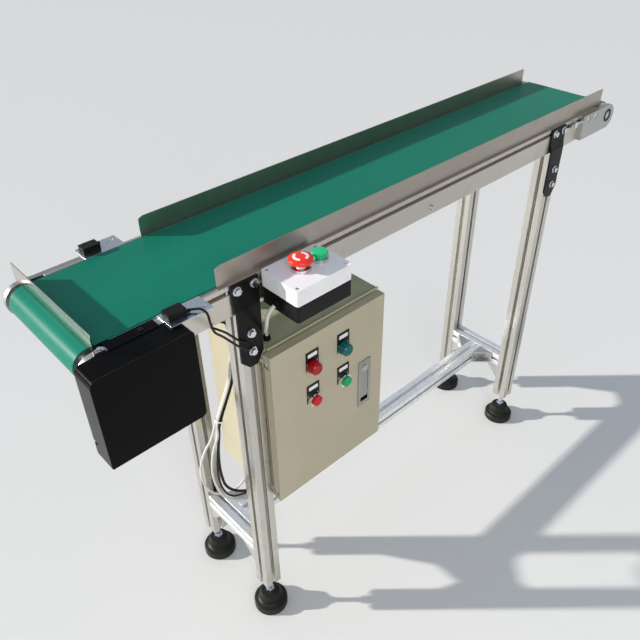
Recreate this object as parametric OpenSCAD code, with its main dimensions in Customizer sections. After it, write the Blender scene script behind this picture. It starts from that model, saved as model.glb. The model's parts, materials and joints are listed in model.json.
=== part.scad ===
// Belt conveyor section: flat belt between two slotted side rails on a four-leg slot-profile stand,
// belt-and-pulley drive under a black guard, control cabinet and push-button station on the near side.
// X runs along the conveyor from the drive end to the tail end, the near side faces -Y, the floor is z = 0.

/* [Overall] */
// Distance between the leg centres along the conveyor
leg_pitch_x = 930; // [700:5:1400]
// Distance between the leg centres across the conveyor
leg_pitch_y = 210; // [180:5:400]
// Height of the carrying surface of the belt above the floor
belt_top = 952; // [700:1:1200]
// Distance from the drive-end legs' centre to the drive roller axis
drive_over = 268; // [230:1:320]
// Distance from the tail-end legs' centre to the tail roller axis
tail_over = 215; // [200:1:300]

/* [Belt and rails] */
// Belt thickness
belt_t = 2; // [1:0.5:4]
// Clearance between the belt edge and each side rail
belt_gap = 2.5; // [1:0.5:6]
// Height of a side rail
rail_h = 60; // [56:1:90]
// Thickness of a side rail
rail_t = 9; // [9:1:14]
// How far a rail's outer face sits inside the leg's outer face
rail_inset = 4; // [2:1:6]
// Diameter of the two end rollers
roller_d = 53.4; // [46:0.2:56]
// Height of the side guides above the rail
guide_h = 40; // [20:1:90]
// Thickness of the guide sheet
guide_t = 1.5; // [1:0.5:3]
// How far the tail end can be slackened
take_up = 12; // [4:1:14]

/* [Stand] */
// Width of the slot profile used for legs and beams
prof = 40; // [38:1:45]
// Height of the lower end of a leg above the floor
foot_h = 95; // [80:1:120]
// Height of the top of the lower beams
beam_top = 243; // [180:1:420]
// Diameter of a foot pad
pad_d = 80; // [50:1:90]
// Travel of a levelling foot
foot_travel = 20; // [10:1:30]

/* [Guard and drive] */
// Length of the drive guard along the conveyor
guard_w = 170; // [160:1:200]
// Height of the drive guard
guard_h = 172; // [165:1:200]
// Depth of the drive guard
guard_d = 45; // [40:1:60]
// Size of the square gear motor
motor_s = 90; // [80:1:96]
// Pitch diameter of the two drive pulleys
pulley_d = 40; // [32:1:44]

/* [Cabinet] */
// Width of the control cabinet
cab_w = 294; // [280:1:330]
// Height of the control cabinet
cab_h = 392; // [360:1:420]
// Depth of the control cabinet body
cab_d = 170; // [140:1:200]
// Thickness of the cabinet door
door_t = 19.5; // [16:0.5:22]
// Diameter of the holes for lamps and buttons
ctl_hole = 22.3; // [22.1:0.1:24]
// Horizontal distance between the control columns
ctl_px = 81; // [70:1:90]
// Vertical distance between the control rows
ctl_pz = 82; // [76:1:100]
// Travel of a push-button
btn_travel = 4; // [2:0.5:5]

/* [Station] */
// Length of the push-button station
st_w = 122; // [116:1:140]
// Depth of the push-button station
st_d = 92; // [80:1:110]
// Diameter of the emergency stop cap
mush_d = 43; // [36:1:44]

/* [Hidden] */
$fn = 48;
// derived heights and half widths
hp = prof/2;
belt_in = roller_d/2 + 0.3;
belt_out = belt_in + belt_t;
axis_z = belt_top - belt_out;
rail_top = belt_top - belt_t;
rail_z = rail_top - rail_h;
leg_out = leg_pitch_y/2 + hp;
rail_out = leg_out - rail_inset;
rail_in = rail_out - rail_t;
belt_hw = rail_in - belt_gap;
lx = leg_pitch_x/2;
dx = -lx - drive_over;
tx = lx + tail_over;
slot_z = rail_top - 13;
tie_z = axis_z - belt_in + 9;
plate_t = 10;
plate_out = rail_out + plate_t;
rail_x0 = dx + 40;
rail_x1 = tx - 40;
tail_x0 = tx - 118;
guard_x0 = dx - 35;
guard_y1 = plate_out + 0.5;
guard_z1 = rail_top - 1;
lip_x = dx + 77;
guard_z0 = guard_z1 - guard_h;
mot_x = dx + 83;
mot_z = axis_z - 93;
gd_y = belt_hw + 3.75;
gd_x0 = -lx - 47;
gd_x1 = lx + 195;
cab_x0 = -lx + hp;
cab_x1 = cab_x0 + cab_w;
cab_top = rail_top - 160;
cab_z0 = cab_top - cab_h;
body_y = -leg_out + 0.5;
door_y1 = -leg_out - 4.5;
door_y0 = door_y1 - door_t;
hg_x = cab_x0 + 5;
hg_y = door_y1 - 4.5;
col1 = cab_x0 + 98;
col2 = col1 + ctl_px;
row1 = cab_top - 76;
row2 = row1 - ctl_pz;
lock_x = cab_x0 + 240;
lock_z = cab_top - 205;
st_x0 = -lx + 33;
st_y1 = -rail_out - 3;
st_y0 = st_y1 - st_d;
st_z0 = rail_z + 3;
st_z1 = st_z0 + 32;
st_z2 = st_z1 + 30;
es_x = st_x0 + 50;
gb_x = st_x0 + 92;
bt_y = st_y1 - 45;
sen_y = rail_out + 32;
// the frame of the part stands on the floor under the middle of its outline
sx = -(guard_x0 + tx + max(belt_out, rail_h/2))/2;
sy = -(st_y0 + sen_y)/2;

// bar between two corners
module bx(a, b) translate([min(a[0],b[0]), min(a[1],b[1]), min(a[2],b[2])]) cube([abs(b[0]-a[0]), abs(b[1]-a[1]), abs(b[2]-a[2])]);
// round bar along y from y0 to y1
module cy(x, z, y0, y1, d, n = 48) translate([x, max(y0,y1), z]) rotate([90,0,0]) cylinder(d = d, h = abs(y1-y0), $fn = n);
// round bar along x
module cx(y, z, x0, x1, d, n = 48) translate([min(x0,x1), y, z]) rotate([0,90,0]) cylinder(d = d, h = abs(x1-x0), $fn = n);
// round bar along z
module cz(x, y, z0, z1, d, n = 48) translate([x, y, min(z0,z1)]) cylinder(d = d, h = abs(z1-z0), $fn = n);
// rectangle with round corners from (0,0)
module rr(w, h, r) { translate([r,0]) square([w-2*r,h]); translate([0,r]) square([w,h-2*r]);
 for (i = [0,1], j = [0,1]) translate([i ? w-r : r, j ? h-r : r]) circle(r = r); }
// rectangle from (0,0) with its own radius at the lower left, lower right, upper right and upper left corner
module rr4(w, h, r) difference() { square([w,h]);
 for (k = [0:3]) translate([k == 1 || k == 2 ? w : 0, k > 1 ? h : 0]) rotate(k*90) difference() { translate([-1,-1]) square(r[k]+1); translate([r[k],r[k]]) circle(r = r[k]); } }
// outline in x and z made solid between two y values
module xz(y0, y1) translate([0, max(y0,y1), 0]) rotate([90,0,0]) linear_extrude(abs(y1-y0)) children();
// outline in y and z made solid between two x values
module yz(x0, x1) translate([x0,0,0]) rotate([90,0,90]) linear_extrude(x1-x0) children();
// copies on both long sides
module both() { children(); mirror([0,1,0]) children(); }
// slot profile cross-section, centred
module prof2() difference() {
 square(prof, center = true);
 for (a = [0:90:270]) rotate(a) polygon([[-4.1,hp+1],[-4.1,hp-4.5],[-9.5,hp-4.5],[-9.5,hp-7.5],[-5,hp-12],[5,hp-12],[9.5,hp-7.5],[9.5,hp-4.5],[4.1,hp-4.5],[4.1,hp+1]]);
 for (a = [0:90:270]) rotate(a) translate([hp-4,hp-4]) circle(d = 4, $fn = 12);
 circle(d = 6.8, $fn = 24);
}
// side rail cross-section for the +y side: outer slot, guide groove in the top, hollow below
module rail2() difference() {
 translate([rail_in, rail_z]) square([rail_t, rail_h]);
 translate([rail_out-1.8, slot_z-4.3]) square([2.8, 8.6]);
 translate([rail_out-7, slot_z-7.2]) square([5.2, 14.4]);
 translate([gd_y-0.05, rail_top-4]) square([guide_t+0.1, 5]);
 translate([rail_in+2, rail_z+3]) square([rail_t-4, rail_h-28]);
}
module rail() difference() {
 yz(rail_x0, rail_x1) rail2();
 for (x = [-lx+85, 10]) cy(x, tie_z, rail_in-1, rail_out+1, 6.4, 24);
}
// hex bolt along +y: head on the outside face, washer under it
module bolt_y(x, z, face, tip, d = 8) {
 cy(x, z, face, face+1.6, 2.1*d, 32);
 cy(x, z, face+1.6, face+1.6+0.65*d, 1.65*d, 6);
 cy(x, z, tip, face+0.2, d-0.1, 24);
}
module bolt_at(s, x, z, face, tip, d = 8) if (s > 0) bolt_y(x, z, face, tip, d); else mirror([0,1,0]) bolt_y(x, z, face, tip, d);

module side_rail_near() color("silver") mirror([0,1,0]) rail();
module side_rail_far() color("silver") rail();
module slider_bed() color("gainsboro") {
 bx([dx+32, -rail_in, rail_top-2], [tx-take_up-36, rail_in, rail_top]);
 both() bx([dx+32, rail_in-2, rail_top-18], [tx-take_up-36, rail_in, rail_top-2]);
}
// square tie bars just above the returning belt
module tie_bars() color("silver") for (x = [-lx+85, 10]) {
 difference() { bx([x-8, -rail_in, tie_z-7.5], [x+8, rail_in, tie_z+7.5]); both() cy(x, tie_z, rail_in-16, rail_in+1, 6.1, 24); }
 both() if (x > -lx+90) bolt_y(x, tie_z, rail_out, rail_in-14, 6); else cy(x, tie_z, rail_in-14, rail_out, 5.9, 24);
}
module return_strips() color("white") for (x = [-lx-60, -140, 160, lx-40])
 bx([x, -rail_in, axis_z-belt_out-2], [x+30, rail_in, axis_z-belt_out]);
module belt() color("seagreen") xz(-belt_hw, belt_hw) difference() {
 union() { translate([dx, axis_z]) circle(r = belt_out, $fn = 96); translate([tx, axis_z]) circle(r = belt_out, $fn = 96);
  translate([dx, axis_z-belt_out]) square([tx-dx, 2*belt_out]); }
 union() { translate([dx, axis_z]) circle(r = belt_in, $fn = 96); translate([tx, axis_z]) circle(r = belt_in, $fn = 96);
  translate([dx, axis_z-belt_in]) square([tx-dx, 2*belt_in]); }
}
// end plate outline at the drive end
module ep2() { translate([dx, rail_z+rail_h/2]) circle(r = rail_h/2, $fn = 64);
 translate([dx, rail_z]) square([113, rail_h]); }
module nut_hole(x) cy(x, slot_z, rail_out-1, plate_out+1, 8.6, 24);
module plate_far() difference() {
 xz(rail_out, plate_out) ep2();
 cy(dx, axis_z, rail_out-1, plate_out+1, 40.04, 64);
 for (x = [dx+62, dx+98]) nut_hole(x);
}
module plate_near() mirror([0,1,0]) difference() {
 xz(rail_out, plate_out) { ep2(); translate([mot_x-motor_s/2, mot_z-motor_s/2]) square([motor_s, axis_z-mot_z+20]); }
 cy(dx, axis_z, rail_out-1, plate_out+1, 40.04, 64);
 for (x = [dx+62, dx+98]) nut_hole(x);
 cy(mot_x, mot_z, rail_out-1, plate_out+1, 30, 48);
 for (i = [-1,1], j = [-1,1]) cy(mot_x+i*36, mot_z+j*36, rail_out-1, plate_out+1, 6.6, 24);
 cz(lip_x, plate_out-5.5, rail_top-8, rail_top+1, 4.1, 24);
}
module end_plates() color("lightgray") { plate_far(); plate_near(); }
module brg(x, do, di) both() difference() { cy(x, axis_z, rail_out, plate_out, do, 64); cy(x, axis_z, rail_out-1, plate_out+1, di, 48); }
module drive_bearings() color("gray") brg(dx, 40, 20.06);
module tail_bearings() color("gray") brg(tx, 35, 17.12);
module drive_roller() color("dimgray") { pulley_key(); cy(dx, axis_z, -belt_hw, belt_hw, roller_d, 96); cy(dx, axis_z, -plate_out-32, plate_out-0.5, 20, 48);
 both() cy(dx, axis_z, belt_hw, rail_out-0.5, 26, 48); }
module tail_roller() color("silver") { cy(tx, axis_z, -belt_hw, belt_hw, roller_d, 96); cy(tx, axis_z, -plate_out+0.5, plate_out-0.5, 17, 48);
 both() cy(tx, axis_z, belt_hw, rail_out-0.5, 23, 48); }
// toothed pulley with two flanges, bore left open
module pulley(x, z, bore) difference() {
 union() { cy(x, z, -plate_out-12, -plate_out-28, pulley_d-0.6, 20); cy(x, z, -plate_out-10, -plate_out-12, pulley_d+7, 48); cy(x, z, -plate_out-28, -plate_out-30, pulley_d+7, 48); }
 cy(x, z, -plate_out, -plate_out-40, bore, 48);
}
// pulley pressed on the drive shaft
module pulley_key() pulley(dx, axis_z, 19.9);
module motor_pulley() color("silver") { pulley(mot_x, mot_z, 15.06); cy(mot_x, mot_z, -rail_out-1, -plate_out-32, 15, 48); }
pul_a = atan2(mot_z-axis_z, mot_x-dx);
pul_l = sqrt((mot_z-axis_z)*(mot_z-axis_z) + (mot_x-dx)*(mot_x-dx));
module loop2(r) translate([dx, axis_z]) rotate(pul_a) { circle(r = r, $fn = 64); translate([pul_l,0]) circle(r = r, $fn = 64); translate([0,-r]) square([pul_l, 2*r]); }
module timing_belt() color("black") xz(-plate_out-13, -plate_out-27) difference() { loop2(pulley_d/2+2); loop2(pulley_d/2+0.1); }
module gear_motor() color("dimgray") {
 difference() { bx([mot_x-motor_s/2, -rail_out, mot_z-motor_s/2], [mot_x+motor_s/2, -rail_out+62, mot_z+motor_s/2]); cy(mot_x, mot_z, -rail_out-1, -rail_out+30, 18, 48); }
 difference() { bx([mot_x-motor_s/2+1, -rail_out+62, mot_z-motor_s/2+1], [mot_x+motor_s/2-1, -rail_out+190, mot_z+motor_s/2-1]);
  for (k = [0:7]) for (j = [-1,1]) bx([mot_x-34+k*9, -rail_out+70, mot_z+j*(motor_s/2+1)], [mot_x-30+k*9, -rail_out+160, mot_z+j*(motor_s/2-5)]); }
 bx([mot_x+motor_s/2-1, -rail_out+80, mot_z-20], [mot_x+motor_s/2+21, -rail_out+140, mot_z+20]);
 for (i = [-1,1], j = [-1,1]) { cy(mot_x+i*36, mot_z+j*36, -rail_out+0, -plate_out-0.1, 6.4, 24); cy(mot_x+i*36, mot_z+j*36, -plate_out, -plate_out-6, 10, 24); }
}
module drive_guard() color("black") difference() {
 union() {
  difference() {
   translate([guard_x0,0,guard_z0]) xz(-guard_y1-guard_d, -guard_y1) rr4(guard_w, guard_h, [3,9,9,14]);
   translate([guard_x0+2,0,guard_z0+2]) xz(-guard_y1-guard_d+2, -guard_y1+1) rr4(guard_w-4, guard_h-4, [1.5,7,7,12]);
  }
  for (p = [[dx+100,axis_z-22,-1],[guard_x0+guard_w-30,mot_z,-1]]) bx([p[0]-2, -guard_y1, p[1]-9], [guard_x0+guard_w-1, -guard_y1-2, p[1]+9]);
  bx([guard_x0+1, -guard_y1, axis_z-9], [guard_x0+12, -guard_y1-2, axis_z+9]);
  // lip that lies on the end plate and the rail
  bx([lip_x-57, -guard_y1, guard_z1-1.5], [lip_x+26, -guard_y1-2, rail_top+1.5]);
  bx([lip_x-57, -rail_in-2, rail_top], [lip_x+26, -guard_y1-2, rail_top+1.5]);
 }
 bx([dx+118, -guard_y1+1, guard_z1-5], [dx+108, -guard_y1-6, guard_z1+1]);
 bx([guard_x0-1, -guard_y1-12, guard_z0+26], [guard_x0+5, -guard_y1+1, guard_z0+32]);
 cy(dx+112, axis_z-22, -guard_y1+1, -guard_y1-5, 4.4, 24);
 cz(lip_x, -plate_out+5.5, rail_top-1, rail_top+3, 4.4, 24);
 cy(guard_x0+guard_w-22, mot_z, -guard_y1+1, -guard_y1-5, 4.4, 24);
}
module stop_plate() color("silver") {
 bx([dx-1, -plate_out-0, rail_top+2.8], [dx+1, plate_out, rail_top+36]);
 difference() { union() { bx([dx+1, -plate_out, rail_top], [dx+17, -plate_out+9, rail_top+2.8]); bx([dx-1, -plate_out, rail_top], [dx+1, -plate_out+9, rail_top+2.8]); }
  cz(dx+10, -plate_out+4.5, rail_top-1, rail_top+4, 4.4, 24); }
 difference() { union() { bx([dx+1, plate_out-9, rail_top], [dx+17, plate_out, rail_top+2.8]); bx([dx-1, plate_out-9, rail_top], [dx+1, plate_out, rail_top+2.8]); }
  cz(dx+10, plate_out-4.5, rail_top-1, rail_top+4, 4.4, 24); }
}
module tail_plates() color("lightgray") both() {
 difference() {
  xz(rail_out, plate_out) { translate([tx, rail_z+rail_h/2]) circle(r = rail_h/2, $fn = 64); translate([tail_x0, rail_z]) square([118, rail_h]); }
  cy(tx, axis_z, rail_out-1, plate_out+1, 35.04, 64);
  for (x = [tail_x0+24, tail_x0+58]) { nut_hole(x); cy(x, slot_z, plate_out-5, plate_out+1, 14, 32); }
  cx(rail_out+5, slot_z, tail_x0-1, tail_x0+14, 6.1, 24);
 }
}
// screws that push the tail plates out, with their lock nuts and the clamp screws of the plates
module take_up_screws() color("silver") both() {
 cx(rail_out+5, slot_z, tail_x0-50, tail_x0+12, 6, 24);
 translate([tail_x0-5.2,rail_out+5,slot_z]) rotate([0,90,0]) difference() { cylinder(d = 9.8, h = 5, $fn = 6); translate([0,0,-1]) cylinder(d = 6.06, h = 7, $fn = 24); }
 for (x = [tail_x0+24, tail_x0+58]) { cy(x, slot_z, rail_out-6.2, plate_out-4.8, 7.9, 24); cy(x, slot_z, plate_out-5, plate_out-1, 12.5, 32); }
 bx([tail_x0+12, rail_out-5.6, slot_z-6.6], [tail_x0+70, rail_out-1.8, slot_z+6.6]);
}
module slot_nuts() color("silver") {
 both() difference() {
  union() {
   for (x = [-lx, lx]) { bx([x-34, rail_out-5.6, slot_z-6.6], [x+34, rail_out-1.8, slot_z+6.6]);
    bx([x-7.5, leg_out-9.4, rail_z-92], [x+7.5, leg_out-4.5, rail_z-32]); }
   bx([dx+50, rail_out-5.6, slot_z-6.6], [dx+110, rail_out-1.8, slot_z+6.6]);
   bx([-lx-128, rail_out-5.6, slot_z-6.6], [-lx-106, rail_out-1.8, slot_z+6.6]);
  }
  for (x = [-lx-17.5, -lx+17.5, lx-17.5, lx+17.5, dx+62, dx+98, -lx-117]) cy(x, slot_z, rail_out-9, rail_out, 8, 24);
  for (x = [-lx, lx], z = [rail_z-45, rail_z-84]) cy(x, z, leg_out-12, leg_out, 8, 24);
 }
 for (x = [st_x0+20, st_x0+st_w-20]) difference() { bx([x-9, -rail_out+5.6, slot_z-6.6], [x+9, -rail_out+1.8, slot_z+6.6]); cy(x, slot_z, -rail_out+8, -rail_out, 6.1, 24); }
 both() difference() { union() { bx([tail_x0-38, rail_out-5.6, slot_z-6.6], [tail_x0-26, rail_out-1.8, slot_z+6.6]);
  bx([tail_x0-38, rail_out-2, slot_z-4], [tail_x0-26, rail_out+0.1, slot_z+4]); bx([tail_x0-38, rail_out, slot_z-7], [tail_x0-26, rail_out+10, slot_z+7]); }
  cx(rail_out+5, slot_z, tail_x0-40, tail_x0-20, 6.1, 24); }
}
leg_top = rail_z;
module leg(sxn, syn) color("silver") translate([sxn*lx, syn*leg_pitch_y/2, foot_h]) difference() {
 linear_extrude(leg_top-foot_h) prof2();
 translate([0,0,-1]) cylinder(d = 12.1, h = foot_travel+50, $fn = 32);
}
module leg_near_drive() leg(-1,-1);
module leg_far_drive() leg(-1,1);
module leg_near_tail() leg(1,-1);
module leg_far_tail() leg(1,1);
module cross_beam(s) color("silver") translate([s*lx, leg_pitch_y/2-hp, beam_top-hp]) rotate([90,0,0]) linear_extrude(leg_pitch_y-prof) prof2();
module cross_beams() { cross_beam(-1); cross_beam(1); }
module long_beam() color("silver") translate([-lx+hp, 0, beam_top-hp]) rotate([90,0,90]) linear_extrude(leg_pitch_x-prof) prof2();
// cast corner block with two flanges and two webs; legs of the corner run along +x and +y of its own frame
module gusset(w = 38) difference() {
 union() { cube([4,42,w]); cube([42,4,w]); for (z = [0,w-4]) translate([0,0,z]) linear_extrude(4) polygon([[0,0],[42,0],[42,3],[3,42],[0,42]]); }
 translate([-1,23,w/2]) rotate([0,90,0]) cylinder(d = 8.6, h = 6, $fn = 24);
 translate([23,-1,w/2]) rotate([-90,0,0]) cylinder(d = 8.6, h = 6, $fn = 24);
}
module gussets() color("gainsboro") both() {
 translate([-lx+hp, hp, beam_top-hp-19]) gusset();
 translate([lx-hp, hp, beam_top-hp-19]) mirror([1,0,0]) gusset();
 for (s = [-1,1]) translate([s*lx-19, leg_pitch_y/2-hp, beam_top-prof]) rotate([0,90,0]) mirror([0,1,0]) gusset();
}
module gusset_bolts() both() for (s = [-1,1]) {
 // into the long beam and the cross beam
 translate([s*(lx-hp-23), hp+4, beam_top-hp]) rotate([-90,0,0]) { cylinder(d = 14, h = 1.2, $fn = 24); cylinder(d = 12, h = 6, $fn = 6); translate([0,0,-10.5]) cylinder(d = 7.8, h = 11, $fn = 24); }
 translate([s*(lx-hp-4), hp+23, beam_top-hp]) rotate([0,s>0 ? -90 : 90,0]) { cylinder(d = 14, h = 1.2, $fn = 24); cylinder(d = 12, h = 6, $fn = 6); translate([0,0,-10.5]) cylinder(d = 7.8, h = 11, $fn = 24); }
 // corner blocks under the cross beams
 translate([s*lx, leg_pitch_y/2-hp-4, beam_top-prof-23]) rotate([90,0,0]) { cylinder(d = 14, h = 1.2, $fn = 24); cylinder(d = 12, h = 6, $fn = 6); translate([0,0,-10.5]) cylinder(d = 7.8, h = 11, $fn = 24); }
 translate([s*lx, leg_pitch_y/2-hp-23, beam_top-prof-4]) rotate([180,0,0]) { cylinder(d = 14, h = 1.2, $fn = 24); cylinder(d = 12, h = 6, $fn = 6); translate([0,0,-10.5]) cylinder(d = 7.8, h = 11, $fn = 24); }
}
// joggled leg bracket for the +y side
module bracket1(x) difference() {
 intersection() {
  yz(x-40, x+40) polygon([[rail_out,rail_top-1],[rail_out,rail_z+22],[leg_out,rail_z+6],[leg_out,rail_z-120],[leg_out+4,rail_z-120],[leg_out+4,rail_z+7],[rail_out+4,rail_z+23],[rail_out+4,rail_top-1]]);
  xz(rail_out-1, leg_out+5) polygon([[x-28,rail_top-1],[x+28,rail_top-1],[x+28,rail_z+24],[x+25,rail_z+8],[x+24,rail_z-94],[x+9,rail_z-118],[x-8,rail_z-118],[x-25,rail_z-100],[x-25,rail_z+8],[x-28,rail_z+24]]);
 }
 for (i = [-1,1]) cy(x+i*17.5, slot_z, rail_out-1, leg_out+5, 8.6, 24);
 for (z = [rail_z-45, rail_z-84]) cy(x, z, rail_out-1, leg_out+5, 8.6, 24);
}
module leg_brackets() color("black") both() for (x = [-lx, lx]) bracket1(x);
module frame_bolts() color("silver") {
 for (s = [-1,1], x = [-lx, lx]) {
  for (i = [-1,1]) bolt_at(s, x+i*17.5, slot_z, rail_out+4, rail_out-6.2);
  for (z = [rail_z-45, rail_z-84]) bolt_at(s, x, z, leg_out+4, leg_out-11);
 }
 for (s = [-1,1], x = [dx+62, dx+98]) bolt_at(s, x, slot_z, plate_out, rail_out-6.2);
 for (s = [-1,1]) bolt_at(s, -lx-117, slot_z, rail_out+2, rail_out-6.2);
 for (x = [st_x0+20, st_x0+st_w-20]) cy(x, slot_z, -rail_out+6.2, -rail_out-3, 6, 24);
 for (z = [cab_z0+60, cab_z0+300]) translate([cab_x0+1.5, -leg_pitch_y/2, z]) rotate([0,90,0]) { cylinder(d = 16, h = 1.6, $fn = 32); cylinder(d = 13, h = 6.6, $fn = 6); translate([0,0,-12]) cylinder(d = 7.8, h = 13, $fn = 24); }
 gusset_bolts();
 small_screws();
}
module foot(sxn, syn) color("dimgray") translate([sxn*lx, syn*leg_pitch_y/2, 0]) {
 translate([0,0,0]) rotate_extrude($fn = 64) polygon([[0,0],[pad_d/2-1.5,0],[pad_d/2,1.5],[pad_d/2,18],[pad_d/2-2,20.5],[pad_d/2-9,22.5],[pad_d/2-13,26],[pad_d/2-15,43],[pad_d/2-17,47.5],[pad_d/2-20,49],[0,49]]);
 translate([0,0,49]) cylinder(d = 22, h = 8, $fn = 6);
 translate([0,0,57]) cylinder(d = 12, h = foot_h+45-57, $fn = 32);
 translate([0,0,foot_h-9]) cylinder(d = 21.9, h = 8.9, $fn = 6);
}
module foot_near_drive() foot(-1,-1);
module foot_far_drive() foot(-1,1);
module foot_near_tail() foot(1,-1);
module foot_far_tail() foot(1,1);
module guide() xz(gd_y, gd_y+guide_t) polygon([[gd_x0,rail_top-3.8],[gd_x1,rail_top-3.8],[gd_x1,rail_top+guide_h],[gd_x0+10,rail_top+guide_h],[gd_x0,rail_top+guide_h-4]]);
module guide_near() color("tan") mirror([0,1,0]) guide();
module guide_far() color("tan") guide();
module sensor_brackets() color("silver") {
 both() difference() {
  union() { bx([-lx-156, rail_out-9, rail_top], [-lx-80, rail_out+32, rail_top+2]); bx([-lx-132, rail_out, rail_top-24], [-lx-102, rail_out+2, rail_top]); }
  cy(-lx-117, slot_z, rail_out-1, rail_out+3, 8.6, 24);
  cz(-lx-90, rail_out+20, rail_top-1, rail_top+3, 5, 24);
 }
 // angle that carries the push-button station
 difference() { union() { bx([st_x0+6, -rail_out, rail_z+0.5], [st_x0+st_w-6, -rail_out-3, slot_z+9]); bx([st_x0+6, -rail_out, rail_z], [st_x0+st_w-6, st_y0+14, rail_z+3]); }
  for (x = [st_x0+20, st_x0+st_w-20]) cy(x, slot_z, -rail_out+1, -rail_out-4, 6.2, 24); }
}
module sensors() color("black") both() {
 difference() { bx([-lx-152, rail_out+1, rail_top+2], [-lx-121, rail_out+21, rail_top+15]); cy(-lx-143, rail_top+9, rail_out, rail_out+3, 8, 32); }
 cx(rail_out+18, rail_top+6, -lx-121, -lx-114, 6, 24);
}
module cabinet_body() color("beige") {
 difference() {
  bx([cab_x0, body_y, cab_z0], [cab_x1, body_y+cab_d, cab_top]);
  bx([cab_x0+1.5, body_y+1.5, cab_z0+1.5], [cab_x1-1.5, body_y+cab_d-1.5, cab_top-1.5]);
  bx([cab_x0+15.5, body_y-1, cab_z0+15.5], [cab_x1-15.5, body_y+5, cab_top-15.5]);
  for (z = [cab_z0+60, cab_z0+300]) cx(-leg_pitch_y/2, z, cab_x0-1, cab_x0+3, 8.6, 24);
  cz(cab_x0+30, -105, cab_top-3, cab_top+1, 12.4, 32);
  for (i = [0:2]) cz(cab_x0+45+i*26, -60, cab_z0-1, cab_z0+3, 12.4, 32);
  cx(-58, 416, cab_x0-1, cab_x0+3, 12.4, 32);
 }
 // rain lip along the front of the roof
 bx([cab_x0+10, body_y-7, cab_top-1.5], [cab_x1-0.5, body_y, cab_top]);
 bx([cab_x0+10, body_y-7, cab_top], [cab_x1-0.5, body_y-5, cab_top+4]);
 // raised rim round the opening, which the door's seal presses on
 difference() { bx([cab_x0+14, body_y-7, cab_z0+14], [cab_x1-14, body_y, cab_top-14]); bx([cab_x0+15.5, body_y-8, cab_z0+15.5], [cab_x1-15.5, body_y+1, cab_top-15.5]); }
}
door_z0 = cab_z0+2;
door_z1 = cab_top-4;
hin = [[cab_top-34, cab_top-18], [cab_z0+12, cab_z0+28]];
module cabinet_door() color("beige") {
 difference() {
  bx([cab_x0+0.5, door_y0, door_z0], [cab_x1, door_y1, door_z1]);
  bx([cab_x0+2, door_y0+1.5, door_z0+1.5], [cab_x1-1.5, door_y1+1, door_z1-1.5]);
  for (h = hin) bx([cab_x0-1, door_y0+6, h[0]], [cab_x0+5, door_y1+1, h[1]]);
  for (x = [col1, col2], z = [row1, row2]) cy(x, z, door_y0-1, door_y0+3, ctl_hole, 48);
  bx([lock_x-12, door_y0-1, lock_z-54], [lock_x+12, door_y0+3, lock_z+54]);
 }
 for (h = hin, z = [h[0]+2, h[1]-5]) difference() { bx([cab_x0+1.7, door_y0+1.4, z], [hg_x+5, hg_y+3, z+3]); cz(hg_x, hg_y, z-1, z+4, 4.1, 24); }
}
module cabinet_hinges() color("silver") for (h = hin) {
 cz(hg_x, hg_y, h[0]+1, h[1]-1, 4, 24);
 cz(hg_x, hg_y, h[0]+5.5, h[1]-5.5, 6.4, 24);
 bx([hg_x-2, hg_y+1, h[0]+5.5], [hg_x+2, body_y, h[1]-5.5]);
}
// mounting plate, rail and switchgear inside the cabinet
module cabinet_gear() color("gainsboro") {
 y1 = body_y+cab_d-1.5;
 bx([cab_x0+22, y1-12, cab_z0+30], [cab_x1-22, y1-10, cab_top-30]);
 for (i = [0,1], z = [cab_z0+45, cab_top-45]) cy(i ? cab_x1-34 : cab_x0+34, z, y1-10, y1, 8, 24);
 bx([cab_x0+30, y1-20, cab_top-130], [cab_x1-30, y1-12, cab_top-95]);
 for (i = [0:3]) bx([cab_x0+40+i*46, y1-88, cab_top-155], [cab_x0+80+i*46, y1-20, cab_top-70]);
 bx([cab_x0+36, y1-96, cab_z0+130], [cab_x0+126, y1-12, cab_z0+215]);
 bx([cab_x0+30, y1-20, cab_z0+60], [cab_x1-30, y1-12, cab_z0+80]);
 for (i = [0:19]) bx([cab_x0+44+i*10, y1-56, cab_z0+50], [cab_x0+53+i*10, y1-20, cab_z0+92]);
}
// body of a lamp or button behind the door
module ctl_back(x, z, d) { cy(x, z, door_y0-0.2, door_y0+16, ctl_hole-0.2, 48); bx([x-14, door_y0+16, z-19], [x+14, door_y0+d, z+19]); cy(x, z, door_y0+1.5, door_y0+6, 28, 6); }
module lamp(x, z) { ctl_back(x, z, 46); cy(x, z, door_y0, door_y0-5, 29, 48); cy(x, z, door_y0-5, door_y0-15, 26, 48);
 translate([x, door_y0-15, z]) rotate([90,0,0]) cylinder(d1 = 26, d2 = 20, h = 3, $fn = 48); }
module lamp_red() color("red") lamp(col1, row1);
module lamp_green() color("teal") lamp(col2, row1);
module legend_plates() color("black") for (x = [col1, col2], z = [row1, row2]) difference() {
 union() { bx([x-16, door_y0, z+11], [x+16, door_y0-1.4, z+37]); bx([x-16, door_y0, z-8], [x-14.7, door_y0-1.4, z+11]); bx([x+14.7, door_y0, z-8], [x+16, door_y0-1.4, z+11]); }
 cy(x, z, door_y0+1, door_y0-3, 29.3, 48);
}
module bezel(x, z) difference() {
 union() { ctl_back(x, z, 46); cy(x, z, door_y0, door_y0-10, 29, 48); }
 cy(x, z, door_y0-16, door_y0-1.5, 23, 48);
 cy(x, z, door_y0-2, door_y0+12, 12.2, 32);
}
module button_bezels() color("silver") { bezel(col1, row2); bezel(col2, row2); }
module btn(x, z) { cy(x, z, door_y0-15, door_y0-2-btn_travel, 22.4, 48); cy(x, z, door_y0-3-btn_travel, door_y0+11.5-btn_travel, 12, 32); }
module button_red() color("red") btn(col1, row2);
module button_green() color("green") btn(col2, row2);
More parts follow.
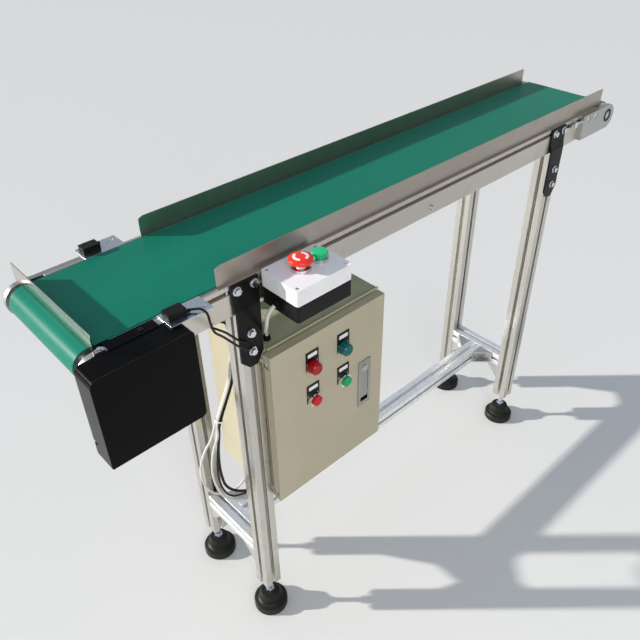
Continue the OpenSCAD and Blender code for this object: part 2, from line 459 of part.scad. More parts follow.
module lock_case() color("gray") difference() {
 union() { bx([lock_x-17.5, door_y0, lock_z-61], [lock_x+17.5, door_y0-2.5, lock_z+61]); bx([lock_x-11.8, door_y0-1, lock_z-53.8], [lock_x+11.8, door_y0+26, lock_z+53.8]);
  bx([lock_x-6, door_y0+26, lock_z-14], [lock_x+6, door_y0+29, lock_z+40]); }
 bx([lock_x-10.4, door_y0-3, lock_z-50], [lock_x+10.4, door_y0+14, lock_z+29]);
 cy(lock_x, lock_z+42, door_y0-3, door_y0+8, 14.2, 32);
 cx(door_y0+6, lock_z-44, lock_x-11.4, lock_x+11.4, 4.1, 24);
}
module lock_lever() color("gray") { bx([lock_x-10, door_y0-1.5, lock_z-40], [lock_x+10, door_y0+3, lock_z+28]); bx([lock_x-8, door_y0+3, lock_z-40], [lock_x+8, door_y0+9, lock_z+10]);
 cx(door_y0+6, lock_z-44, lock_x-11.2, lock_x+11.2, 4, 24); cx(door_y0+6, lock_z-44, lock_x-8, lock_x+8, 9, 32); bx([lock_x-8, door_y0+1.5, lock_z-44], [lock_x+8, door_y0+9, lock_z-39]); }
module lock_button() color("silver") cy(lock_x, lock_z+42, door_y0-5, door_y0+3, 14, 32);
module st_box(z0, z1, in) translate([st_x0+in, st_y0+in, z0]) linear_extrude(z1-z0) rr(st_w-2*in, st_d-2*in, 5);
module station_base() color("black") difference() {
 st_box(st_z0, st_z1, 0);
 difference() { st_box(st_z0+2.5, st_z1+1, 2.5); for (i = [0,1], j = [0,1]) cz(i ? st_x0+st_w-8 : st_x0+8, j ? st_y1-8 : st_y0+8, st_z0, st_z1, 8.5, 24); }
 for (i = [0,1], j = [0,1]) cz(i ? st_x0+st_w-8 : st_x0+8, j ? st_y1-8 : st_y0+8, st_z0+8, st_z1+1, 3.9, 24);
 cx(bt_y, st_z0+17, st_x0-1, st_x0+3, 12.3, 32);
}
module station_lid() color("white") {
 difference() {
  st_box(st_z1, st_z2, 0);
  difference() { st_box(st_z1-1, st_z2-2.5, 2.5); for (i = [0,1], j = [0,1]) cz(i ? st_x0+st_w-8 : st_x0+8, j ? st_y1-8 : st_y0+8, st_z1, st_z2, 8.5, 24); }
  for (i = [0,1], j = [0,1]) { cz(i ? st_x0+st_w-8 : st_x0+8, j ? st_y1-8 : st_y0+8, st_z1-1, st_z2+1, 4.1, 24); cz(i ? st_x0+st_w-8 : st_x0+8, j ? st_y1-8 : st_y0+8, st_z2-3, st_z2+1, 7, 24); }
  for (x = [es_x, gb_x]) cz(x, bt_y, st_z2-4, st_z2+1, ctl_hole, 48);
 }
 // clear collars and the contact holders of both operators
 for (p = [[es_x,36],[gb_x,31]]) difference() { union() { cz(p[0], bt_y, st_z2, st_z2+6, p[1], 48); cz(p[0], bt_y, st_z2-16, st_z2+1, ctl_hole-0.2, 48); bx([p[0]-15, bt_y-19, st_z2-40], [p[0]+15, bt_y+19, st_z2-16]); }
  cz(p[0], bt_y, p[1] > 32 ? st_z2-9 : st_z2+0.3, st_z2+7, p[1] > 32 ? 16.2 : 23.2, 48); cz(p[0], bt_y, st_z2-24, st_z2+1, 12.2, 32); }
}
module small_screws() {
 for (i = [0,1], j = [0,1]) { cz(i ? st_x0+st_w-8 : st_x0+8, j ? st_y1-8 : st_y0+8, st_z0+9, st_z2-2.9, 3.7, 24); cz(i ? st_x0+st_w-8 : st_x0+8, j ? st_y1-8 : st_y0+8, st_z2-3, st_z2-0.6, 6.8, 24); }
 for (s = [-1,1]) cz(dx+10, s*(plate_out-4.5), rail_top+2.8, rail_top+5, 8, 24);
 cy(dx+112, axis_z-22, -guard_y1-2, -guard_y1-4.5, 8, 24);
 cy(guard_x0+guard_w-22, mot_z, -guard_y1-2, -guard_y1-4.5, 8, 24);
 cz(lip_x, -plate_out+5.5, rail_top-7, rail_top+2, 3.9, 24); cz(lip_x, -plate_out+5.5, rail_top+1.5, rail_top+4, 7, 24);
}
module estop_stem() color("gray") { cz(es_x, bt_y, st_z2+1, st_z2+12, 16, 48); cz(es_x, bt_y, st_z2-18, st_z2+1, 12, 32); }
module estop_cap() color("red") difference() {
 translate([es_x, bt_y, st_z2+7.5+3]) rotate_extrude($fn = 72) polygon([[0,0],[13,0],[mush_d/2-1.5,4.5],[mush_d/2,7],[mush_d/2,9.5],[mush_d/2-1.2,11.5],[mush_d/2-5,13],[8,14],[0,14.3]]);
 cz(es_x, bt_y, st_z2, st_z2+12.05, 16.1, 48);
}
module start_button() color("lime") { translate([gb_x, bt_y, st_z2]) rotate_extrude($fn = 64) polygon([[0,4.5],[11.3,4.5],[11.3,10.5],[14.3,12.5],[14.3,15.5],[13,16.9],[0,17.5]]); cz(gb_x, bt_y, st_z2-16, st_z2+5, 12, 32); }

// hand-laid cord: smooth curve through the points, swept as one closed skin
function cr(p, i, t) = let(n = len(p), a = p[max(i-1,0)], b = p[i], c = p[min(i+1,n-1)], d = p[min(i+2,n-1)])
 0.5*((2*b) + (c-a)*t + (2*a-5*b+4*c-d)*t*t + (3*b-a-3*c+d)*t*t*t);
function unit(v) = v/norm(v);
module cord(pts, r, sub = 3) {
 n = len(pts); m = (n-1)*sub;
 c = [for (k = [0:m]) let(i = min(floor(k/sub), n-2)) cr(pts, i, (k - i*sub)/sub)];
 tg = [for (k = [0:m]) unit(c[min(k+1,m)] - c[max(k-1,0)])];
 sd = [for (k = [0:m]) let(w = abs(tg[k][1]) > 0.85 ? [1,0,0] : [0,1,0]) unit(cross(tg[k], w))];
 q = 8;
 v = [for (k = [0:m], a = [0:q-1]) let(s = sd[k], u = cross(tg[k], s)) c[k] + r*(cos(a*360/q)*s + sin(a*360/q)*u)];
 f = concat([[for (a = [0:q-1]) a]], [[for (a = [q-1:-1:0]) m*q + a]],
  [for (k = [0:m-1], a = [0:q-1]) [k*q+a, (k+1)*q+a, (k+1)*q+(a+1)%q, k*q+(a+1)%q]]);
 polyhedron(points = v, faces = f, convexity = 8);
}
// points of the cords, before the part is moved over its middle
control_pts = [[-442,-169,910],[-449,-168,905],[-452,-162,890],[-447,-150,862],[-434,-128,832],[-419,-110,812],[-415,-105,800]];
sensor_pts = [[-579,-139,956],[-573,-144,957],[-566,-151,957],[-561,-158,949],[-558,-158,930],[-551,-155,907],[-534,-150,886],[-514,-148,860],[-494,-147,836],[-481,-145,828],[-474,-139,828],
 [-478,-133,833],[-489,-132,841],[-501,-129,855],[-512,-124,868],[-524,-115,877],[-527,-101,876],[-514,-86,868],[-488,-73,850],[-464,-68,822],[-458,-68,775],[-475,-71,710],[-514,-71,625],
 [-524,-72,590],[-531,-71,550],[-536,-70,505],[-535,-70,468],[-527,-71,432],[-508,-71,402],[-470,-70,384],[-430,-62,372],[-406,-60,374],[-400,-60,388]];
motor_pts = [[-576,-30,842],[-548,-33,845],[-510,-38,852],[-476,-47,846],[-456,-60,820],[-456,-61,775],[-473,-65,708],[-512,-65,624],[-518,-65,590],[-524,-64,550],[-527,-64,505],[-525,-64,468],[-518,-64,436],[-498,-64,405],[-465,-63,378],[-425,-61,362],[-390,-60,360],[-376,-60,371],[-374,-60,388]];
tacho_pts = [[-576,-8,842],[-548,-12,848],[-508,-24,858],[-476,-38,852],[-465,-50,828],[-461,-55,775],[-480,-68,711],[-519,-68,627],[-528,-76,600],[-544,-77,565],[-552,-77,521],[-550,-77,487],[-544,-77,456],[-531,-78,423],[-500,-78,388],[-460,-74,366],[-415,-66,350],[-370,-61,348],[-350,-60,364],[-348,-60,388]];
grey_pts = [[-576,14,842],[-546,10,850],[-505,-6,864],[-474,-26,858],[-458,-43,828],[-457,-49,775],[-478,-62,711],[-517,-62,626],[-532,-59,584],[-552,-58,557],[-566,-58,522],[-565,-58,478],[-548,-58,435],[-518,-58,407],[-490,-58,402],[-468,-58,412],[-455,-58,416]];
module control_cord() color("lightgray") cord(control_pts, 3.5, 1);
module sensor_cord() color("black") cord(sensor_pts, 2, 1);
module motor_cord() color("black") cord(motor_pts, 3, 1);
module tacho_cord() color("lightgray") cord(tacho_pts, 2.5, 1);
module grey_cord() color("lightgray") cord(grey_pts, 2.5, 1);
// screwed cable glands and the tie round the bundle
module gland_x(x, y, z, d) { cx(y, z, x, x-d, 15, 6); cx(y, z, x-d, x-d-2, 12, 32); cx(y, z, x+0.1, x+7, 12, 32); }
module cable_fittings() color("dimgray") {
 gland_x(st_x0, bt_y, st_z0+17, 6);
 gland_x(cab_x0, -58, 416, 8);
 cz(cab_x0+30, -105, cab_top, cab_top+7, 15, 6); cz(cab_x0+30, -105, cab_top+7, cab_top+10, 12, 32); cz(cab_x0+30, -105, cab_top-7, cab_top, 12, 32);
 for (i = [0:2]) { cz(cab_x0+45+i*26, -60, cab_z0-7, cab_z0, 15, 6); cz(cab_x0+45+i*26, -60, cab_z0-10, cab_z0-7, 12, 32); cz(cab_x0+45+i*26, -60, cab_z0, cab_z0+7, 12, 32); }
 for (y = [-30,-8,14]) { cx(y, 842, mot_x+motor_s/2+21, mot_x+motor_s/2+26, 13, 6); cx(y, 842, mot_x+motor_s/2+26, mot_x+motor_s/2+29, 10, 32); }
 // tie round the bundle and tie on the station's cable
 translate([-515, -66, 625]) rotate([0,24.6,0]) translate([0,0,-1.5]) difference() { cylinder(r = 8.8, h = 3, $fn = 32); translate([0,0,-1]) cylinder(r = 7.8, h = 5, $fn = 32); }
}

translate([sx, sy, 0]) {
 side_rail_near();
 side_rail_far();
 slider_bed();
 tie_bars();
 return_strips();
 belt();
 end_plates();
 drive_bearings();
 drive_roller();
 motor_pulley();
 timing_belt();
 gear_motor();
 drive_guard();
 stop_plate();
 tail_plates();
 tail_bearings();
 tail_roller();
 take_up_screws();
 slot_nuts();
 leg_near_drive();
 leg_far_drive();
 leg_near_tail();
 leg_far_tail();
 cross_beams();
 long_beam();
 gussets();
 leg_brackets();
 frame_bolts();
 foot_near_drive();
 foot_far_drive();
 foot_near_tail();
 foot_far_tail();
 guide_near();
 guide_far();
 sensor_brackets();
 sensors();
 cabinet_body();
 cabinet_door();
 cabinet_hinges();
 cabinet_gear();
 lamp_red();
 lamp_green();
 legend_plates();
 button_bezels();
 button_red();
 button_green();
 lock_case();
 lock_lever();
 lock_button();
 station_base();
 station_lid();
 estop_stem();
 estop_cap();
 start_button();
 cable_fittings();
 control_cord();
 sensor_cord();
 motor_cord();
 grey_cord();
 tacho_cord();
}
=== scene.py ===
"""Belt conveyor section: finishes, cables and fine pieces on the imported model."""
import json
import math

import bmesh
import bpy
from mathutils import Matrix, Vector


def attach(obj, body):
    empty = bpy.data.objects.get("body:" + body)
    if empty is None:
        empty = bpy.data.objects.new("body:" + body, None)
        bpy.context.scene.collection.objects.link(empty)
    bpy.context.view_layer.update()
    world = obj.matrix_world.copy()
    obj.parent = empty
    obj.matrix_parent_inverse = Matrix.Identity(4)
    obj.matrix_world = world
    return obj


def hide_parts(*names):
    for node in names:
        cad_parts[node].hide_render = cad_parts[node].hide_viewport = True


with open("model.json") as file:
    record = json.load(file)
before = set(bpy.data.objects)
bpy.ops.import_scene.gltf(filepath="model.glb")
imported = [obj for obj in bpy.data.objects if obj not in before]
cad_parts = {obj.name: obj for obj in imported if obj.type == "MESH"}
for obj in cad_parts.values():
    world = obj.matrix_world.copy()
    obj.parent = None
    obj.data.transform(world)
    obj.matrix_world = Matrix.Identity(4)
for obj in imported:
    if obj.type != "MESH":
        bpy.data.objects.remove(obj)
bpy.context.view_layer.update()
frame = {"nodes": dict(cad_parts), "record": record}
NODES = frame["nodes"]
SCENE = bpy.context.scene
SCENE.view_settings.view_transform = "Standard"


# ------------------------------------------------------------------ camera
CAMERA_PLACE = (-0.9669, -0.8629, 1.5604)
CAMERA_ANGLES = (42.0, -36.8, -1.2)
CAMERA_LENS = 38.7


def make_camera():
    """Camera above the drive end on the control side, looking down along the belt."""
    turn, tilt, roll = (math.radians(angle) for angle in CAMERA_ANGLES)
    ahead = Vector((math.sin(turn) * math.cos(tilt), math.cos(turn) * math.cos(tilt), math.sin(tilt)))
    right = Vector((math.cos(turn), -math.sin(turn), 0.0))
    up = right.cross(ahead)
    side = right * math.cos(roll) + up * math.sin(roll)
    top = up * math.cos(roll) - right * math.sin(roll)
    data = bpy.data.cameras.new("camera")
    data.sensor_width = 36.0
    data.lens = CAMERA_LENS
    data.clip_start = 0.05
    data.clip_end = 40.0
    camera = bpy.data.objects.new("camera", data)
    turn_matrix = Matrix((side, top, -ahead)).transposed().to_4x4()
    camera.matrix_world = Matrix.Translation(CAMERA_PLACE) @ turn_matrix
    SCENE.collection.objects.link(camera)
    SCENE.camera = camera


make_camera()


# ------------------------------------------------------------------ shader expressions
class Level:
    """A number socket that takes part in ordinary arithmetic."""

    def __init__(self, finish, socket):
        self.finish = finish
        self.socket = socket

    def _math(self, operation, first, second=None, clamp=False):
        values = {0: first}
        if second is not None:
            values[1] = second
        return self.finish.node("ShaderNodeMath", {"operation": operation, "use_clamp": clamp}, values)

    def __add__(self, other):
        return self._math("ADD", self, other)

    __radd__ = __add__

    def __sub__(self, other):
        return self._math("SUBTRACT", self, other)

    def __rsub__(self, other):
        return self._math("SUBTRACT", other, self)

    def __mul__(self, other):
        return self._math("MULTIPLY", self, other)

    __rmul__ = __mul__

    def __gt__(self, other):
        return self._math("GREATER_THAN", self, other)

    def clamped(self):
        return self._math("ADD", self, 0.0, clamp=True)

    def wave(self):
        return self._math("SINE", self)


class Finish:
    """One material: a Principled shader and the nodes behind it."""

    def __init__(self, name, **fixed):
        self.material = bpy.data.materials.new(name)
        self.material.use_nodes = True
        self.tree = self.material.node_tree
        self.tree.nodes.clear()
        self.shader = self.tree.nodes.new("ShaderNodeBsdfPrincipled")
        out = self.tree.nodes.new("ShaderNodeOutputMaterial")
        self.tree.links.new(self.shader.outputs[0], out.inputs[0])
        for socket, value in fixed.items():
            self.put(self.shader.inputs[socket.replace("_", " ")], value)

    def put(self, socket, value):
        if isinstance(value, Level):
            value = value.socket
        if isinstance(value, bpy.types.NodeSocket):
            self.tree.links.new(value, socket)
        elif isinstance(value, tuple) and len(value) == 3 and socket.type == "RGBA":
            socket.default_value = (*value, 1.0)
        else:
            socket.default_value = value

    def node(self, kind, settings=None, values=None, output=0):
        made = self.tree.nodes.new(kind)
        for key, value in (settings or {}).items():
            if key == "stops":
                ramp = made.color_ramp
                while len(ramp.elements) < len(value):
                    ramp.elements.new(0.5)
                for element, (place, colour) in zip(ramp.elements, value):
                    element.position = place
                    element.color = (*colour, 1.0)
            else:
                setattr(made, key, value)
        for key, value in (values or {}).items():
            self.put(made.inputs[key], value)
        socket = made.outputs[output]
        return Level(self, socket) if socket.type == "VALUE" else socket

    def place(self, stretch=(1.0, 1.0, 1.0)):
        """Point on the part in metres, stretched along its axes."""
        here = self.node("ShaderNodeTexCoord", output="Object")
        return self.node("ShaderNodeVectorMath", {"operation": "MULTIPLY"}, {0: here, 1: stretch})

    def noise(self, scale, detail=3.0, stretch=(1.0, 1.0, 1.0), rough=0.5):
        values = {"Vector": self.place(stretch), "Scale": scale, "Detail": detail, "Roughness": rough}
        return self.node("ShaderNodeTexNoise", None, values)

    def cells(self, scale, stretch=(1.0, 1.0, 1.0)):
        return self.node("ShaderNodeTexVoronoi", None, {"Vector": self.place(stretch), "Scale": scale})

    def blend(self, share, first, second):
        settings = {"data_type": "RGBA"}
        return self.node("ShaderNodeMix", settings, {0: share, 6: first, 7: second}, output=2)

    def edges(self, reach):
        """Share that rises from 0 to 1 along sharp edges, within a reach in metres."""
        rounded = self.node("ShaderNodeBevel", {"samples": 4}, {"Radius": reach})
        facing = self.node("ShaderNodeNewGeometry", output="Normal")
        match = self.node("ShaderNodeVectorMath", {"operation": "DOT_PRODUCT"}, {0: rounded, 1: facing},
                          output="Value")
        return ((1.0 - match) * 6.0).clamped()

    def set(self, socket, value):
        self.put(self.shader.inputs[socket], value)
        return self

    def relief(self, height, strength, depth):
        values = {"Height": height, "Strength": strength, "Distance": depth}
        return self.set("Normal", self.node("ShaderNodeBump", None, values))


def scaled(colour, factor):
    return tuple(min(1.0, channel * factor) for channel in colour)


def drawn_metal(name, colour, rough, along, grain=0.05, metallic=1.0, streak=(0.86, 1.08)):
    """Extruded or rolled metal with fine lines along one axis, handling marks and dull patches."""
    fine = tuple(14.0 if axis != along else 0.35 for axis in range(3))
    finish = Finish(name, Metallic=metallic)
    lines = finish.noise(90.0, 4.0, fine, 0.65)
    broad = finish.noise(9.0, 3.0, tuple(1.0 if axis != along else 0.25 for axis in range(3)))
    smudge = finish.noise(26.0, 5.0)
    share = (lines * 0.55 + broad * 0.45).clamped()
    tone = finish.blend(share, scaled(colour, streak[0]), scaled(colour, streak[1]))
    dull = (smudge > 0.62) * 0.35
    finish.set("Base Color", finish.blend(dull, tone, scaled(colour, 0.82)))
    finish.set("Roughness", (lines - 0.5) * 0.22 + (smudge - 0.5) * 0.16 + rough)
    return finish.relief(lines, grain * 4.0, 0.0004).material


def zinc_metal(name, colour, rough):
    """Zinc plate: faint bluish spangle and small dull specks."""
    finish = Finish(name, Metallic=1.0)
    spangle = finish.cells(260.0)
    cloud = finish.noise(40.0, 4.0)
    cool = scaled(colour, 1.08)
    tone = finish.blend((spangle * 1.2).clamped(), scaled(colour, 0.86), cool)
    finish.set("Base Color", finish.blend((cloud > 0.66) * 0.4, tone, scaled(colour, 0.7)))
    finish.set("Roughness", (cloud - 0.5) * 0.25 + rough)
    return finish.relief(spangle * 0.5 + cloud, 0.12, 0.0003).material


def coated(name, colour, rough, peel, coat=0.0, scale=420.0, grime=0.25, shine=0.5, edge=None):
    """Paint or powder coat on metal: orange peel, faint dust and uneven gloss; with an edge colour, a lighter tone
    along sharp edges that is partly rubbed paint and partly painted highlight.
    """
    finish = Finish(name, Metallic=0.0, Coat_Roughness=0.08, Specular_IOR_Level=shine)
    skin = finish.noise(scale, 2.0)
    dust = finish.noise(14.0, 5.0)
    specks = finish.noise(900.0, 1.0)
    tone = finish.blend(dust, scaled(colour, 1.0 - grime * 0.35), scaled(colour, 1.0 + grime * 0.3))
    tone = finish.blend((specks > 0.74) * grime, tone, scaled(colour, 0.7))
    # Lighter edge tone: partly rubbed paint, partly a painted highlight where the edges catch light.
    if edge:
        rubbed_and_highlight = finish.noise(70.0, 4.0)
        tone = finish.blend(finish.edges(0.0012) * (rubbed_and_highlight * 1.6).clamped() * 0.8, tone, edge)
    finish.set("Base Color", tone)
    finish.set("Roughness", (dust - 0.5) * 0.14 + rough)
    if coat:
        finish.set("Coat Weight", coat)
    return finish.relief(skin, peel, 0.0005).material


def moulded(name, colour, rough, grain=0.12, scale=1400.0, shine=0.5):
    """Moulded plastic or rubber: fine grain, soft handling shine."""
    finish = Finish(name, Specular_IOR_Level=shine)
    skin = finish.noise(scale, 2.0)
    worn = finish.noise(32.0, 4.0)
    finish.set("Base Color", finish.blend(worn, scaled(colour, 0.9), scaled(colour, 1.1)))
    finish.set("Roughness", (worn - 0.5) * 0.2 + rough)
    return finish.relief(skin, grain, 0.0003).material


def belt_finish():
    """Green belt cover: smooth satin PVC with a faint cloth pattern, scuffs along the run and dust."""
    finish = Finish("belt_cover", Coat_Roughness=0.2, Coat_Weight=0.03, Specular_IOR_Level=0.14)
    across = finish.noise(5.0, 3.0, (0.4, 1.0, 1.0))
    scuffs = finish.noise(60.0, 5.0, (0.12, 2.4, 1.0), 0.7)
    dust = finish.noise(150.0, 3.0)
    here = finish.place((1.0, 1.0, 1.0))
    split = {name: finish.node("ShaderNodeSeparateXYZ", None, {0: here}, output=name) for name in "XYZ"}
    weave = (split["X"] * 2600.0).wave() * (split["Y"] * 2600.0).wave()
    green = finish.blend(across, (0.0015, 0.148, 0.096), (0.003, 0.192, 0.128))
    green = finish.blend((scuffs > 0.60) * 0.28, green, (0.014, 0.235, 0.155))
    finish.set("Base Color", finish.blend((dust > 0.70) * 0.18, green, (0.05, 0.22, 0.16)))
    finish.set("Roughness", (scuffs - 0.5) * 0.22 + (across - 0.5) * 0.1 + 0.40)
    return finish.relief(weave * 0.15 + dust * 0.5, 0.10, 0.0003).material


def lens_finish(name, colour, glow):
    """Ribbed translucent lens of a pilot lamp."""
    finish = Finish(name, Roughness=0.22, IOR=1.49, Specular_IOR_Level=0.35)
    rings = finish.noise(120.0, 2.0)
    finish.set("Base Color", finish.blend(rings, scaled(colour, 0.85), scaled(colour, 1.15)))
    finish.set("Emission Color", glow)
    finish.shader.inputs["Emission Strength"].default_value = 0.12
    return finish.relief(rings, 0.15, 0.0006).material


def bright_metal(name, colour, rough):
    """Plated or polished metal with light smears."""
    finish = Finish(name, Metallic=1.0)
    smear = finish.noise(70.0, 4.0)
    finish.set("Base Color", finish.blend(smear, scaled(colour, 0.9), scaled(colour, 1.05)))
    finish.set("Roughness", (smear - 0.5) * 0.14 + rough)
    return finish.relief(smear, 0.05, 0.0002).material


FINISHES = {
    "rail_aluminium": drawn_metal("rail_aluminium", (0.67, 0.625, 0.56), 0.36, 0),
    "leg_aluminium": drawn_metal("leg_aluminium", (0.66, 0.64, 0.585), 0.30, 2),
    "cast_aluminium": zinc_metal("cast_aluminium", (0.62, 0.62, 0.61), 0.42),
    "zinc_sheet": zinc_metal("zinc_sheet", (0.62, 0.68, 0.76), 0.30),
    "zinc": zinc_metal("zinc_bright", (0.70, 0.73, 0.78), 0.24),
    "stainless": drawn_metal("guide_steel", (0.48, 0.435, 0.375), 0.34, 0, 0.06, 1.0, (0.75, 1.2)),
    "bearing_steel": bright_metal("bearing_steel", (0.32, 0.32, 0.33), 0.30),
    "roller_steel": drawn_metal("roller_steel", (0.52, 0.52, 0.54), 0.30, 1),
    "chrome": bright_metal("chrome", (0.82, 0.83, 0.85), 0.08),
    "nickel": drawn_metal("lock_nickel", (0.50, 0.47, 0.42), 0.18, 2, 0.03),
    "cast_grey": coated("motor_paint", (0.20, 0.21, 0.23), 0.5, 0.5, 0.0, 180.0),
    # The last colour of the guard, bracket and cabinet finishes is the lighter edge tone: partly rubbed paint,
    # partly painted highlight.
    "gloss_black": coated("guard_black", (0.0025, 0.0025, 0.0028), 0.18, 0.10, 0.02, 160.0, 0.5, 0.06,
                          (0.050, 0.054, 0.062)),
    "black_powder": coated("bracket_black", (0.006, 0.0055, 0.005), 0.30, 0.25, 0.0, 700.0, 0.5, 0.14,
                           (0.085, 0.082, 0.078)),
    "beige_enamel": coated("cabinet_enamel", (0.455, 0.412, 0.292), 0.36, 0.3, 0.15, 260.0, 0.25, 0.5,
                           (0.56, 0.53, 0.42)),
    "belt_green": belt_finish(),
    "black_rubber": moulded("black_rubber", (0.011, 0.011, 0.010), 0.50, 0.25, 500.0, 0.25),
    "black_plastic": moulded("black_plastic", (0.007, 0.0065, 0.0065), 0.34, 0.12, 1400.0, 0.18),
    "white_plastic": moulded("white_plastic", (0.84, 0.84, 0.86), 0.32, 0.08),
    "grey_cable": moulded("grey_cable", (0.60, 0.59, 0.54), 0.42),
    "red_plastic": moulded("stop_red", (0.84, 0.030, 0.012), 0.26, 0.05),
    "green_plastic": moulded("start_green", (0.008, 0.50, 0.20), 0.26, 0.05),
    "red_lens": lens_finish("lamp_red_lens", (0.34, 0.004, 0.007), (0.16, 0.0, 0.0)),
    "teal_lens": lens_finish("lamp_teal_lens", (0.001, 0.11, 0.115), (0.0, 0.06, 0.06)),
}
BUTTON_RED = moulded("button_red", (0.56, 0.007, 0.007), 0.28, 0.05, 1400.0, 0.3)
BUTTON_GREEN = moulded("button_green", (0.006, 0.34, 0.115), 0.28, 0.05, 1400.0, 0.3)
STOP_METAL = drawn_metal("stop_steel", (0.64, 0.62, 0.58), 0.12, 1, 0.012, 1.0, (0.88, 1.06))
PLATE_METAL = drawn_metal("plate_aluminium", (0.50, 0.505, 0.49), 0.34, 0)
# Cross and long beams: a brighter, bluer copy of the leg aluminium; the extra lightness is painted sunlight and
# painted sky reflection.
SUNLIT_CROSS_METAL = drawn_metal("cross_aluminium_painted_sunlight", (0.86, 0.88, 0.90), 0.30, 1, 0.05, 0.72)
SUNLIT_LONG_METAL = drawn_metal("long_aluminium_painted_sunlight", (0.88, 0.90, 0.92), 0.30, 0, 0.05, 0.72)


# ------------------------------------------------------------------ CAD nodes: finishes and soft edges
EDGE = {
    "cabinet_body": 1.4, "cabinet_door": 1.6, "drive_guard": 1.2, "station_lid": 1.6, "station_base": 1.4,
    "sensors": 1.2, "leg_brackets": 0.5, "sensor_brackets": 0.4, "stop_plate": 0.4, "guide_near": 0.25,
    "guide_far": 0.25, "gear_motor": 1.2, "gussets": 0.9, "end_plates": 0.5, "tail_plates": 0.5,
    "side_rail_near": 0.3, "side_rail_far": 0.3, "frame_bolts": 0.35, "legend_plates": 0.3,
    "lock_case": 0.5, "lock_lever": 0.5, "lock_button": 0.6, "button_red": 0.9, "button_green": 0.9,
    "button_bezels": 0.8, "lamp_red": 0.8, "lamp_green": 0.8, "estop_cap": 0.7, "estop_stem": 0.3,
    "start_button": 0.6, "cable_fittings": 0.4, "leg_near_drive": 0.5, "leg_far_drive": 0.5,
    "leg_near_tail": 0.5, "leg_far_tail": 0.5, "cross_beams": 0.5,
    "long_beam": 0.5, "foot_near_drive": 0.8, "foot_far_drive": 0.8, "foot_near_tail": 0.8,
    "foot_far_tail": 0.8, "take_up_screws": 0.3, "cabinet_gear": 0.8,
}


def soften(piece, width):
    """Joins the faces and rounds the edges of a node by a fraction of a millimetre."""
    weld = piece.modifiers.new("join", "WELD")
    weld.merge_threshold = 0.00001
    bevel = piece.modifiers.new("edge", "BEVEL")
    bevel.width = width / 1000.0
    bevel.segments = 2
    bevel.limit_method = "ANGLE"
    bevel.angle_limit = math.radians(35.0)
    even = piece.modifiers.new("even", "WEIGHTED_NORMAL")
    even.mode = "FACE_AREA_WITH_ANGLE"
    even.weight = 100
    even.keep_sharp = True
    for face in piece.data.polygons:
        face.use_smooth = True


OWN_FINISH = {
    "cross_beams": SUNLIT_CROSS_METAL, "long_beam": SUNLIT_LONG_METAL, "stop_plate": STOP_METAL, "button_red": BUTTON_RED,
    "button_green": BUTTON_GREEN, "tail_plates": PLATE_METAL, "end_plates": PLATE_METAL,
}


def finish_nodes():
    slots = {entry["node"]: entry["material_slot"] for entry in frame["record"]["subparts"]}
    for name, piece in NODES.items():
        piece.data.materials.clear()
        piece.data.materials.append(OWN_FINISH.get(name, FINISHES[slots[name]]))
        if name in EDGE:
            soften(piece, EDGE[name])


def recolour(name, finish, test):
    """Gives the faces of a node that pass a test on their middle point a second finish."""
    piece = NODES[name]
    piece.data.materials.append(finish)
    index = len(piece.data.materials) - 1
    for face in piece.data.polygons:
        if test(piece.matrix_world @ face.center):
            face.material_index = index


finish_nodes()
MIDDLE = Vector((0.029, 0.0315, 0.0))
FEET = ("foot_near_drive", "foot_far_drive", "foot_near_tail", "foot_far_tail")
PAD_TOP = 0.0492
for foot in FEET:
    recolour(foot, FINISHES["zinc"], lambda p: p.z > PAD_TOP)
# Station operators: place along the conveyor and radius of the collar.
OPERATORS = ((-0.382, 0.0181), (-0.340, 0.0156))
OPERATOR_ROW = 0.169
LID_TOP = 0.9551
recolour("station_lid", bright_metal("collar_chrome", (0.70, 0.71, 0.73), 0.16),
         lambda p: p.z > LID_TOP and any(math.hypot(p.x - MIDDLE.x - x, p.y - MIDDLE.y + OPERATOR_ROW) < r
                                        for x, r in OPERATORS))
# Dish behind the lock's lever, the guard's small screw, and the tie round the cables.
recolour("lock_case", FINISHES["black_plastic"], lambda p: p.y > MIDDLE.y - 0.1485)
recolour("frame_bolts", FINISHES["black_powder"],
         lambda p: abs(p.x - MIDDLE.x + 0.656) < 0.006 and p.y < MIDDLE.y - 0.12)
recolour("cable_fittings", FINISHES["white_plastic"],
         lambda p: 0.612 < p.z < 0.638 and abs(p.x - MIDDLE.x + 0.515) < 0.012)


# ------------------------------------------------------------------ pieces made here
def new_piece(name, mesh, finish, body):
    """Object with one finish that moves with a body."""
    piece = bpy.data.objects.new(name, mesh)
    SCENE.collection.objects.link(piece)
    piece.data.materials.append(finish)
    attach(piece, body)
    return piece


def smooth_line(points, steps):
    """Catmull-Rom curve through the points."""
    line = []
    last = len(points) - 1
    for i in range(last):
        a, b = Vector(points[max(i - 1, 0)]), Vector(points[i])
        c, d = Vector(points[i + 1]), Vector(points[min(i + 2, last)])
        for k in range(steps):
            t = k / steps
            line.append(0.5 * (2 * b + (c - a) * t + (2 * a - 5 * b + 4 * c - d) * t ** 2
                               + (3 * b - a - 3 * c + d) * t ** 3))
    line.append(Vector(points[last]))
    return line


